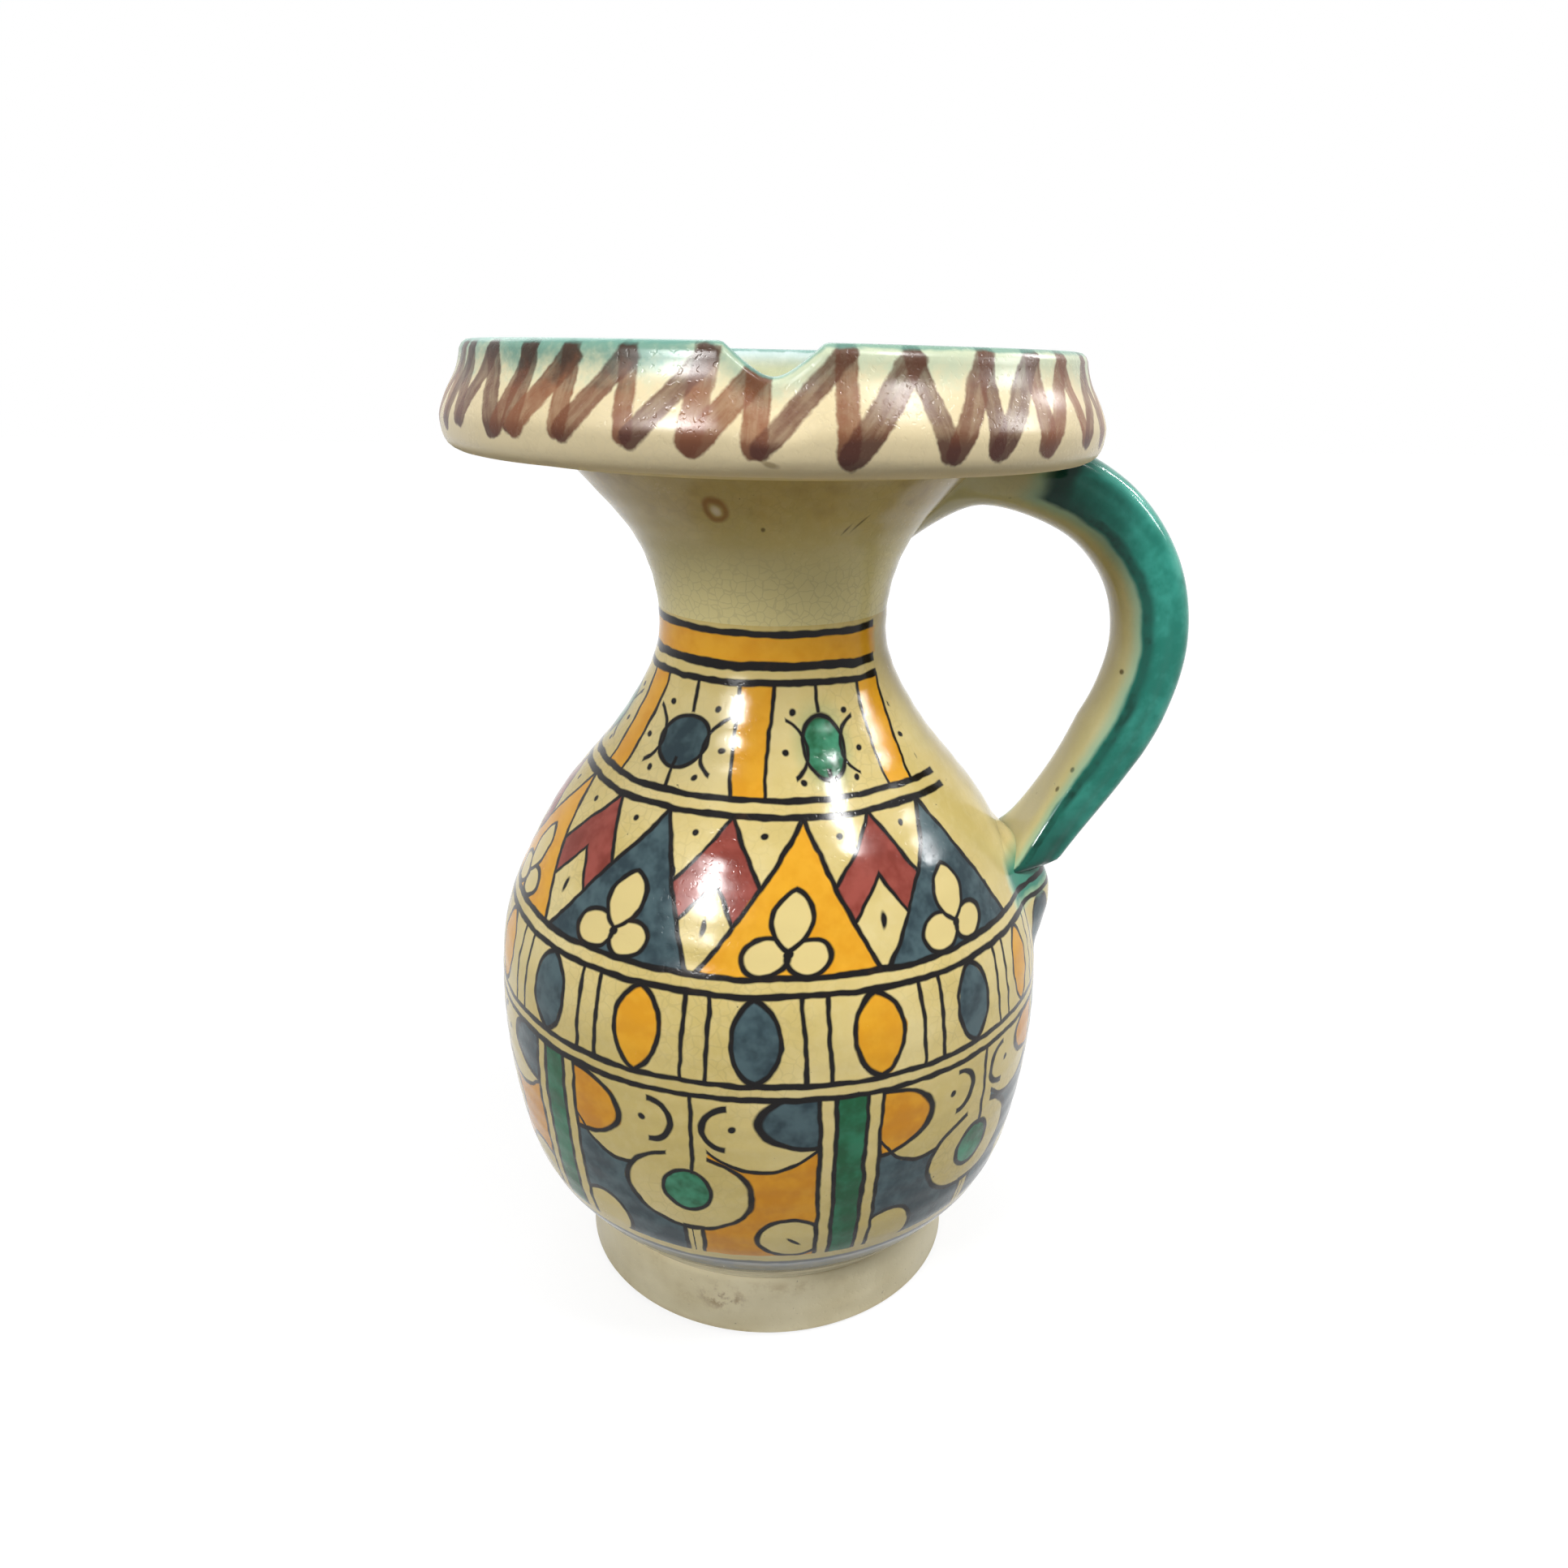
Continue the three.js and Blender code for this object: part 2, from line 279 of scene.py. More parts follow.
def curve_through(points, step):
    """Points about one step apart along a smooth curve through the given ones."""
    points = np.array(points, float)
    chord = np.linalg.norm(np.diff(points, axis=0), axis=1)
    at = np.concatenate([[0], np.cumsum(chord)])
    count = max(int(math.ceil(at[-1] / step)), 1)
    want = np.linspace(0, at[-1], count + 1)
    if len(points) == 2:
        return [tuple(p) for p in points[0] + np.outer(want / at[-1], points[1] - points[0])]
    slope = np.gradient(points, at, axis=0)
    cell = np.clip(np.searchsorted(at, want, side="right") - 1, 0, len(chord) - 1)
    u = ((want - at[cell]) / chord[cell])[:, None]
    h = chord[cell][:, None]
    low, high = points[cell], points[cell + 1]
    bend = (2 * u**3 - 3 * u**2 + 1) * low + (u**3 - 2 * u**2 + u) * h * slope[cell]
    bend = bend + (3 * u**2 - 2 * u**3) * high + (u**3 - u**2) * h * slope[cell + 1]
    return [tuple(p) for p in bend]


def refined(path, closed):
    """The outline with smooth runs between its sharp corners, sampled evenly."""
    points = [np.array(p) for p in path]
    count = len(points)
    sharp = []
    for i in range(count):
        if not closed and i in (0, count - 1):
            sharp.append(i)
            continue
        before = points[i] - points[i - 1]
        after = points[(i + 1) % count] - points[i]
        turn = np.dot(before, after) / (np.linalg.norm(before) * np.linalg.norm(after))
        if math.degrees(math.acos(max(-1, min(1, turn)))) > CORNER:
            sharp.append(i)
    ends = sharp + [sharp[0] + count] if closed else sharp
    rows = []
    for first, last in zip(ends, ends[1:]):
        run = [points[i % count] for i in range(first, last + 1)]
        rows += curve_through(run, ROW_STEP)[:-1]
    return rows if closed else rows + [tuple(points[-1])]


def hand_thrown(radius, height, angle):
    """A thrown wall's slight waves, in the radius, the same for every piece at the same place."""
    if radius < 1:
        return radius
    spot = Vector((math.cos(angle) * radius, math.sin(angle) * radius, height)) * 0.02
    rings = math.sin(height * 0.9 + 2 * noise.noise(spot * 0.6)) * HAND_RING
    return radius + HAND_WAVE * noise.noise(spot) + rings


def askew(radius, height, angle):
    """Height of a point of the collar that leans, most at its edge and not at all on the neck."""
    share = max(0, min(1, (radius - COLLAR_ROOT) / (COLLAR_EDGE - COLLAR_ROOT)))
    lean = math.tan(COLLAR_TILT * DEG) * share * share * (3 - 2 * share)
    return height - lean * radius * math.sin(angle)


def new_piece(name, points, faces, paint, bake, material, nodes):
    """A mesh object with its painting and baking maps, standing for the named solids."""
    mesh = bpy.data.meshes.new(name)
    mesh.from_pydata([Vector(p) * MM for p in points], [], faces)
    for title, coordinates in (("OFBake", bake), ("Paint", paint)):
        layer = mesh.uv_layers.new(name=title)
        layer.data.foreach_set("uv", np.array(coordinates, np.float32).ravel())
    mesh.polygons.foreach_set("use_smooth", [True] * len(mesh.polygons))
    mesh.set_sharp_from_angle(angle=CORNER * DEG)
    mesh.materials.append(material)
    piece = bpy.data.objects.new(name, mesh)
    bpy.context.scene.collection.objects.link(piece)
    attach(piece, "root")
    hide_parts(*nodes)
    return piece


def turned(name, node, material, rise, shape, columns=COLUMNS):
    """A thrown piece: the solid's outline, smoothed and turned, with a hand's unevenness."""
    path = snapped(outline(node))
    on_axis = path[0][0] < 0.01
    rows = refined(path, not on_axis)
    count = len(rows)
    spans = count - 1 if on_axis else count
    run = np.cumsum([0] + [math.dist(rows[j], rows[(j + 1) % count]) for j in range(spans)])
    run = run / run[-1]
    points, index = [], {}
    for j, (radius, height) in enumerate(rows):
        around = 1 if radius < 0.01 else columns
        for i in range(columns):
            index[i, j] = len(points) + i % around
        for i in range(around):
            angle = (SEAM_ANGLE + 360 * i / columns) * DEG
            r, z = shape(radius, height, angle)
            points.append((r * math.sin(angle), -r * math.cos(angle), z))
    faces, paint, bake = [], [], []
    for j in range(spans):
        for i in range(columns):
            corners = [(i, j), (i + 1, j), (i + 1, j + 1), (i, j + 1)]
            loop, kept = [], []
            for c, d in corners:
                vertex = index[c % columns, d % count]
                if vertex not in loop:
                    loop.append(vertex)
                    kept.append((c, d))
            faces.append(loop)
            for c, d in kept:
                direction = SEAM_ANGLE - 360 + 360 * c / columns
                paint.append((direction, rise(rows[d % count][1])))
                bake.append((c / columns, run[d]))
    return new_piece(name, points, faces, paint, bake, material, [node])


def outer_radius(path):
    """Radius of an outline's outer side as a function of height."""
    low = min(path, key=lambda p: (p[1], -p[0]))
    first = path.index(low)
    outer = [low]
    for r, z in path[first + 1:]:
        if z <= outer[-1][1]:
            break
        outer.append((r, z))
    smooth = np.array(curve_through(outer, ROW_STEP))
    return lambda z: float(np.interp(z, smooth[:, 1], smooth[:, 0]))


belly_radius = outer_radius(snapped(outline("belly")))
neck_radius = outer_radius(snapped(outline("neck")))
_heights = np.arange(SEAMS[0], SEAMS[1] + 6, 0.25)
_radii = np.array([belly_radius(z) for z in _heights])
_run = np.concatenate([[0], np.cumsum(np.hypot(np.diff(_heights), np.diff(_radii)))])


def rise(z):
    """Distance up the belly's outside from the foot to a height."""
    return float(np.interp(z, _heights, _run))


def skin_radius(z):
    """Outside radius of the pot below the collar."""
    return belly_radius(z) if z < SEAMS[1] else neck_radius(min(z, SEAMS[2]))


def handle_mesh(material):
    """A pulled handle: a grooved oval swept along its line, pressed onto the pot at both ends."""
    line = np.array(curve_through(HANDLE_LINE, 0.5))
    length = np.concatenate([[0], np.cumsum(np.linalg.norm(np.diff(line, axis=0), axis=1))])
    total = length[-1]
    points, index = [], {}
    for j in range(HANDLE_ROWS + 1):
        s = total * j / HANDLE_ROWS
        x, z = (np.interp(s, length, line[:, k]) for k in (0, 1))
        ahead = [np.interp(min(s + 1, total), length, line[:, k]) for k in (0, 1)]
        behind = [np.interp(max(s - 1, 0), length, line[:, k]) for k in (0, 1)]
        along = Vector((ahead[0] - behind[0], ahead[1] - behind[1])).normalized()
        out = Vector((-along.y, along.x))
        from_end = min(s, total - s) / HANDLE_THICKNESS
        flare = 1 + ROOT_FLARE * math.exp(-from_end)
        ending = max(0, 1 - (total - s) / END_LENGTH)
        spread = 1 + END_SPREAD * ending**4
        for i in range(HANDLE_SIDES):
            angle = 2 * math.pi * i / HANDLE_SIDES - math.pi
            groove = (abs(math.degrees(angle)) - GROOVE_ANGLE) / GROOVE_SPREAD
            reach = flare * (1 - 2 * HANDLE_GROOVE / HANDLE_WIDTH * math.exp(-groove * groove)) / 2
            round_off = lambda v: math.copysign(abs(v) ** (2 / HANDLE_SQUARENESS), v)
            outer = max(0, math.cos(angle))
            thin = 1 - ending * (END_TAPER * outer + INNER_TAPER * max(0, -math.cos(angle)))
            a = HANDLE_THICKNESS * reach * round_off(math.cos(angle)) * thin
            b = HANDLE_WIDTH * reach * round_off(math.sin(angle)) * spread
            share = 1 - outer if s < total / 2 else LOWER_FILLET * math.sin(angle) ** 2
            spot = bedded(Vector((x, 0, z)), Vector((out.x * a, b, out.y * a)), share)
            index[i, j] = len(points)
            points.append(pressed(spot))
    faces, paint, bake = [], [], []
    for j in range(HANDLE_ROWS):
        for i in range(HANDLE_SIDES):
            corners = [(i, j), (i, j + 1), (i + 1, j + 1), (i + 1, j)]
            faces.append([index[c % HANDLE_SIDES, d] for c, d in corners])
            paint += [(360 * c / HANDLE_SIDES - 180, total * d / HANDLE_ROWS) for c, d in corners]
            bake += [(c / HANDLE_SIDES, 0.02 + 0.96 * d / HANDLE_ROWS) for c, d in corners]
    for j, v in ((0, 0.005), (HANDLE_ROWS, 0.995)):
        ring = [index[i, j] for i in range(HANDLE_SIDES)]
        faces.append(ring if j == 0 else ring[::-1])
        paint += [(0, total * j / HANDLE_ROWS)] * HANDLE_SIDES
        bake += [(0.5 + 0.004 * math.cos(i), v + 0.004 * math.sin(i)) for i in range(HANDLE_SIDES)]
    return new_piece("jug_handle", points, faces, paint, bake, material,
                     ["handle", "handle_upper_wad"])


def bedded(middle, offset, share):
    """A handle point moved out near the pot, along its surface, so that the joint is a rounded hollow."""
    spot = middle + offset
    pot = lambda p: skin_radius(p.z) + pad_height(p.y, p.z)
    gap = math.hypot(spot.x, spot.y) - pot(spot)
    near = min(1, max(0, 1 - gap / FILLET_REACH))
    wave = noise.noise(spot * 0.03) * HAND_WAVE
    spot += offset.normalized() * (ROOT_FILLET * near * near * share + wave)
    from_middle = min(1, max(0, (abs(spot.y) - LIP_START) / LIP_SPAN))
    sunk = LIP_SLOPE * max(0, LIP_HEIGHT - spot.z) * from_middle
    if near * share > 0 or sunk > 0:
        scale = (pot(spot) + gap - sunk) / math.hypot(spot.x, spot.y)
        spot = Vector((spot.x * scale, spot.y * scale, spot.z))
    return spot


def pressed(spot):
    """A handle point kept inside the thickness of the wall or collar that it is pressed onto."""
    radius = math.hypot(spot.x, spot.y)
    base, inner, climb, span = UNDERSIDE
    ceiling = base + ROOT_DEPTH + climb * max(0, radius - inner) / span
    z = min(spot.z, ceiling)
    wall = skin_radius(z) - ROOT_DEPTH
    if radius < wall:
        spot = Vector((spot.x * wall / radius, spot.y * wall / radius, 0))
    return (spot.x, spot.y, z)


def pad_height(across, z):
    """How far the pad stands out from the belly, by the distance round from its middle and the height."""
    half_height = PAD_RISE if z > PAD_Z else PAD_FALL
    reach = min((across / PAD_HALF_WIDTH) ** 2 + ((z - PAD_Z) / half_height) ** 2, 1)
    return PAD_PROUD * (1 - reach) ** 2


def pad_mesh(material):
    """A pad of clay smeared onto the belly under the handle's end, thickest in the middle."""
    points, paint_at = [], []
    for skin in (1, 0):
        for j in range(PAD_CELLS + 1):
            for i in range(PAD_CELLS + 1):
                a, b = (2 * k / PAD_CELLS - 1 for k in (i, j))
                u = a * math.sqrt(1 - b * b / 2)
                v = b * math.sqrt(1 - a * a / 2)
                z = PAD_Z + v * (PAD_RISE if v > 0 else PAD_FALL)
                swell = pad_height(u * PAD_HALF_WIDTH, z)
                radius = belly_radius(z)
                direction = SEAM_ANGLE + u * PAD_HALF_WIDTH / (radius * DEG)
                angle = direction * DEG
                r = hand_thrown(radius, z, angle) + (swell - 0.05 if skin else -ROOT_DEPTH)
                points.append((r * math.sin(angle), -r * math.cos(angle), z))
                paint_at.append((direction, rise(z), i / PAD_CELLS, j / PAD_CELLS))
    side = PAD_CELLS + 1
    faces = []
    for skin in (0, 1):
        base = skin * side * side
        for j in range(PAD_CELLS):
            for i in range(PAD_CELLS):
                loop = [base + j * side + i, base + j * side + i + 1,
                        base + (j + 1) * side + i + 1, base + (j + 1) * side + i]
                faces.append(loop if skin == 0 else loop[::-1])
    rim = [(0, i) for i in range(side)] + [(j, PAD_CELLS) for j in range(1, side)]
    rim += [(PAD_CELLS, i) for i in range(PAD_CELLS - 1, -1, -1)]
    rim += [(j, 0) for j in range(PAD_CELLS - 1, 0, -1)]
    for (j, i), (m, k) in zip(rim, rim[1:] + rim[:1]):
        top, far = j * side + i, m * side + k
        faces.append([far, top, top + side * side, far + side * side])
    paint = [paint_at[v][:2] for loop in faces for v in loop]
    bake = [paint_at[v][2:] for loop in faces for v in loop]
    return new_piece("jug_handle_pad", points, faces, paint, bake, material,
                     ["handle_lower_wad"])


# Materials: sums over a surface, one node each, made in the order in which they are worked out

class Field:
    """A number or colour that varies over the surface of the material being made."""

    def __init__(self, socket):
        self.socket = socket

    def __add__(self, other):
        return calc("ADD", self, other)

    def __radd__(self, other):
        return calc("ADD", other, self)

    def __sub__(self, other):
        return calc("SUBTRACT", self, other)

    def __rsub__(self, other):
        return calc("SUBTRACT", other, self)

    def __mul__(self, other):
        return calc("MULTIPLY", self, other)

    def __rmul__(self, other):
        return calc("MULTIPLY", other, self)

    def __truediv__(self, other):
        return calc("DIVIDE", self, other)

    def __neg__(self):
        return calc("MULTIPLY", self, -1)

    def __abs__(self):
        return calc("ABSOLUTE", self)


tree = None


def new_material(name):
    global tree
    material = bpy.data.materials.new(name)
    material.use_nodes = True
    tree = material.node_tree
    tree.nodes.clear()
    return material


def node(kind, inputs, **settings):
    made = tree.nodes.new("ShaderNode" + kind)
    for key, value in settings.items():
        setattr(made, key, value)
    for key, value in inputs.items():
        if isinstance(value, Field):
            tree.links.new(value.socket, made.inputs[key])
        else:
            made.inputs[key].default_value = value
    return made


def calc(operation, *terms):
    return Field(node("Math", dict(enumerate(terms)), operation=operation).outputs[0])


def least(*terms):
    out = terms[0]
    for term in terms[1:]:
        out = calc("MINIMUM", out, term)
    return out


def most(*terms):
    out = terms[0]
    for term in terms[1:]:
        out = calc("MAXIMUM", out, term)
    return out


def floor(value):
    return calc("FLOOR", value)


def length(x, y):
    return calc("SQRT", calc("MULTIPLY_ADD", x, x, y * y))


def fade(value, low, high, start=0.0, end=1.0):
    """Smooth change from start to end as a value goes from low to high."""
    inputs = {"Value": value, "From Min": low, "From Max": high, "To Min": start, "To Max": end}
    return Field(node("MapRange", inputs, interpolation_type="SMOOTHSTEP").outputs["Result"])


def within(distance, soft=SOFT):
    """1 inside a shape and 0 outside, from the distance to its edge in millimetres."""
    return fade(distance, -soft, soft, 1.0, 0.0)


def srgb(colour):
    linear = lambda c: c / 12.92 if c <= 0.04045 else ((c + 0.055) / 1.055) ** 2.4
    return tuple(linear(c / 255) for c in colour) + (1.0,)


def shade(colour):
    return colour if isinstance(colour, Field) else srgb(colour)


def mix(share, a, b):
    made = node("Mix", {0: share, 6: shade(a), 7: shade(b)}, data_type="RGBA")
    return Field(made.outputs[2])


def coordinates():
    """Direction in degrees and rise in millimetres from the painting map, and the place in metres."""
    uv = node("UVMap", {}, uv_map="Paint")
    parts = node("SeparateXYZ", {0: Field(uv.outputs[0])})
    place = Field(node("TexCoord", {}).outputs["Object"])
    return Field(parts.outputs[0]), Field(parts.outputs[1]), place


def grain(place, size, detail=2.0, roughness=0.5, seed=0.0):
    """Noise with features of about a given size in millimetres: one value, and three more like it."""
    made = node("TexNoise", {"Vector": place, "W": seed, "Scale": 1 / (size * MM), "Detail": detail,
                             "Roughness": roughness}, noise_dimensions="4D")
    split = node("SeparateColor", {0: Field(made.outputs["Color"])})
    return [Field(made.outputs[0])] + [Field(split.outputs[k]) for k in range(3)]


def cracks(place, size, width):
    """Fine craze lines: 1 on a line and 0 between, from cells of about the given size in millimetres."""
    wave = grain(place, size * 1.6, 2.0, 0.5, 7.0)
    shift = node("VectorMath", {0: place, 1: Field(node("CombineXYZ", {0: wave[1] * (size * MM),
                 1: wave[2] * (size * MM), 2: wave[3] * (size * MM)}).outputs[0])}, operation="ADD")
    cells = node("TexVoronoi", {"Vector": Field(shift.outputs[0]), "Scale": 1 / (size * MM)},
                 feature="DISTANCE_TO_EDGE")
    return fade(Field(cells.outputs["Distance"]), width / size, 0.3 * width / size)


def cream(place):
    """The clear, slightly yellow glaze: uneven, with faint crazing and a few iron specks."""
    cloud = grain(place, 46, 3.0, 0.55, 1.0)
    colour = mix(fade(cloud[0], 0.35, 0.68), CREAM_DEEP, CREAM)
    colour = mix(fade(cloud[1], 0.52, 0.75, 0.0, 0.55), colour, CREAM_PALE)
    fine = grain(place, 3.2, 2.0, 0.6, 2.0)
    colour = mix(fade(fine[0], 0.4, 0.72, 0.0, 0.16), colour, CREAM_PALE)
    colour = mix(fade(fine[1], 0.735, 0.77, 0.0, 0.7), colour, INK_THIN)
    return mix(cracks(place, 3.6, 0.3) * fade(cloud[2], 0.42, 0.6, 0.0, 0.09), colour, INK_THIN)


def finish(material, colour, place, roughness, matte=0.0, pits=0.12):
    """The glaze's gloss: even over the piece, a little waved, pitted and worn."""
    waves = grain(place, 14, 1.0, 0.4, 3.0)
    pocks = grain(place, 1.3, 1.0, 0.5, 4.0)
    ripple = grain(place, 4.2, 1.0, 0.4, 5.0)
    height = waves[0] + ripple[0] * 0.3 + fade(pocks[0], 0.3, 0.42, -pits, 0.0)
    bump = node("Bump", {"Strength": 0.3, "Distance": 0.4 * MM, "Height": height})
    worn = fade(waves[1], 0.45, 0.75, roughness, roughness + 0.09)
    worn = worn + fade(pocks[1], 0.55, 0.8, 0.0, 0.1)
    surface = node("BsdfPrincipled", {
        "Base Color": colour, "Roughness": worn, "Normal": Field(bump.outputs[0]),
        "Specular IOR Level": (1 - matte) * GLOSS,
    })
    output = node("OutputMaterial", {"Surface": Field(surface.outputs[0])})
    output.is_active_output = True
    return material


class Brush:
    """What the painter's hand does on one surface: uneven lines and pigment that lies thick and thin."""

    def __init__(self, place):
        wander = grain(place, 30, 2.0, 0.5, 11.0)
        quiver = grain(place, 5, 1.0, 0.5, 12.0)
        self.sideways = (wander[1] - 0.5) * 3.6 + (quiver[1] - 0.5) * 1.3
        self.upwards = (wander[2] - 0.5) * 2.8 + (quiver[2] - 0.5) * 0.9
        self.weight = 0.3 + wander[3] * 0.8 + quiver[3] * 0.8
        streak = grain(place, 9, 3.0, 0.6, 13.0)
        self.dense = fade(streak[0], 0.36, 0.64)
        self.spill = (quiver[1] + streak[2] - 1.0) * 2.6 - 0.15
        self.patch = fade(streak[1], 0.35, 0.7)
        self.ink = mix(fade(streak[2], 0.58, 0.78, 0.0, 0.5), INK, INK_THIN)

    def stroke(self, distance, half):
        """A line of ink, given the distance to its middle."""
        return within(abs(distance) - self.weight * half)

    def fill(self, deep, pale):
        """Pigment that is laid in by brush, darker where it lies thick."""
        return mix(self.dense, deep, pale)


def ellipse(x, y, half_width, half_height):
    """Distance to an oval's edge, below zero inside."""
    return (length(x / half_width, y / half_height) - 1) * min_of(half_width, half_height)


def min_of(a, b):
    return least(a, b) if isinstance(a, Field) or isinstance(b, Field) else min(a, b)


def almond(x, y, half_width, half_height):
    """Distance to the edge of an almond with points above and below."""
    radius = (half_height**2 + half_width**2) / (2 * half_width)
    return length(abs(x) + (radius - half_width), y) - radius


def odd(index):
    """1 for odd whole numbers and 0 for even ones."""
    half = index * 0.5
    return (half - floor(half)) * 2


def painted_belly(material_name):
    material = new_material(material_name)
    az, up, place = coordinates()
    bare = cream(place)
    colour = bare
    brush = Brush(place)
    girth = node("VectorMath", {0: place, 1: (1, 1, 0)}, operation="MULTIPLY")
    across = node("VectorMath", {0: Field(girth.outputs[0])}, operation="LENGTH")
    deg = Field(across.outputs["Value"]) * (DEG / MM)
    az = az + brush.sideways / deg
    up = up + brush.upwards
    strip = least(abs(az - PLAIN_STRIP), abs(az + (360 - PLAIN_STRIP)))
    colour = shoulder_band(colour, brush, az, up, deg, strip)
    colour = triangle_band(colour, brush, az, up, deg, strip)
    colour = almond_band(colour, brush, az, up, deg)
    colour = lower_band(colour, brush, az, up)
    colour = neck_band(colour, brush, up, strip)
    colour = handle_run(colour, brush, least(abs(az - SEAM_ANGLE), abs(az + (360 - SEAM_ANGLE))) * deg, up)
    hoops = None
    for z, half in BELLY_LINES:
        line = brush.stroke(up - rise(z), half)
        hoops = line if hoops is None else most(hoops, line)
    for z, half in SHOULDER_LINES:
        line = brush.stroke(up - rise(z), half) * fade(strip, SHOULDER_END - 0.6, SHOULDER_END + 0.6)
        hoops = most(hoops, line)
    colour = mix(hoops, colour, brush.ink)
    colour = base_band(colour, brush, up)
    colour = mix(fade(outward(place), -0.05, 0.05), bare, colour)
    return finish(material, colour, place, 0.12)


def handle_run(colour, brush, across, up):
    """Green that ran off the handle's end and down the belly, palest at its edge."""
    above = up - rise(JOINT_LOW)
    joint = most(across - JOINT_HALF_WIDTH + above * JOINT_SLOPE, -above) + brush.spill
    below = fade(up, rise(153), rise(145))
    colour = mix(fade(joint, 6, 2.5, 0.0, 0.6) * below, colour, RUN_PALE)
    colour = mix(fade(joint, 3.5, 1.0, 0.0, 0.8) * below, colour, RUN_GREEN)
    return mix(fade(joint, 1.2, 0.0, 0.0, 0.8) * below, colour, HANDLE_MID)


def base_band(colour, brush, up):
    """A grey-blue band between two darker lines, above bare clay by the foot."""
    colour = mix(fade(up, rise(35.2), rise(33.4)), colour, CLAY)
    band = fade(up, rise(33.6), rise(35.2)) * fade(up, rise(46.8), rise(45.6))
    colour = mix(band * (0.8 + brush.dense * 0.18), colour, GREY_BLUE)
    lines = most(brush.stroke(up - rise(45.6), 0.8), brush.stroke(up - rise(36.2), 1.6))
    return mix(lines * 0.75, colour, BASE_DARK)


def neck_band(colour, brush, up, strip):
    low, high = NECK_OCHRE
    ochre = within(most(rise(low) - up, up - rise(high))) * fade(strip, NECK_END - 4, NECK_END + 2)
    colour = mix(ochre, colour, brush.fill(OCHRE_DEEP, OCHRE))
    hoops = None
    for z, half in NECK_LINES:
        line = brush.stroke(up - rise(z), half)
        hoops = line if hoops is None else most(hoops, line)
    return mix(hoops * fade(strip, NECK_END - 0.7, NECK_END + 0.7), colour, brush.ink)


def shoulder_band(colour, brush, az, up, deg, strip):
    """Ochre bars with a hung oval between each pair, whiskers and dots."""
    lean = fade(az, 25, 44, 0.0, 5.0) * fade(az, 90, 60) / (rise(210.6) - rise(182.1))
    turn = (az - lean * (up - rise(196)) - PANEL_START) / PANEL_PITCH
    panel = floor(turn)
    x = (turn - panel - 0.5) * PANEL_PITCH * deg
    side = abs(x)
    bar = deg * (PANEL_PITCH / 2) - side
    y = up - rise(194)
    blue = odd(panel)
    band = within(most(rise(182.1) - up, up - rise(210.6))) * fade(strip, NECK_END - 1.5, NECK_END)
    colour = mix(within(bar - 4.6 + brush.spill) * band, colour, brush.fill(OCHRE_DEEP, OCHRE))
    half_width = 5.8 + blue * 2.2
    half_height = 9.0 - blue * 1.6
    tilt = blue * 0.34
    lean = 1 - blue * 0.06
    oval = ellipse(x * lean + y * tilt, y * lean - x * tilt, half_width, half_height)
    green_bleed = within(oval - 2.5, 3.0) * (0.35 - blue * 0.3)
    colour = mix(green_bleed, colour, LEAF)
    pigment = mix(blue, brush.fill(LEAF_DEEP, LEAF), brush.fill(SLATE_DEEP, SLATE))
    colour = mix(within(oval) * band, colour, pigment)
    whisker = side - half_width - 9.2
    curl = most(abs(length(whisker, y) - 10.0) - brush.weight * FINE, side - half_width - 4.4)
    hang = most(side - brush.weight * FINE, half_height * 0.9 - abs(y - 2))
    dots = least(length(side - 7.8, up - rise(203)), length(side - half_width - 5.6, y + 1))
    dots = least(dots, length(side - 8.2, up - rise(186))) - 1.0
    ink = least(abs(bar - 4.9) - brush.weight * FINE, abs(oval - 0.3) - brush.weight * FINE)
    ink = least(ink, curl, hang, dots)
    return mix(within(ink) * band, colour, brush.ink)


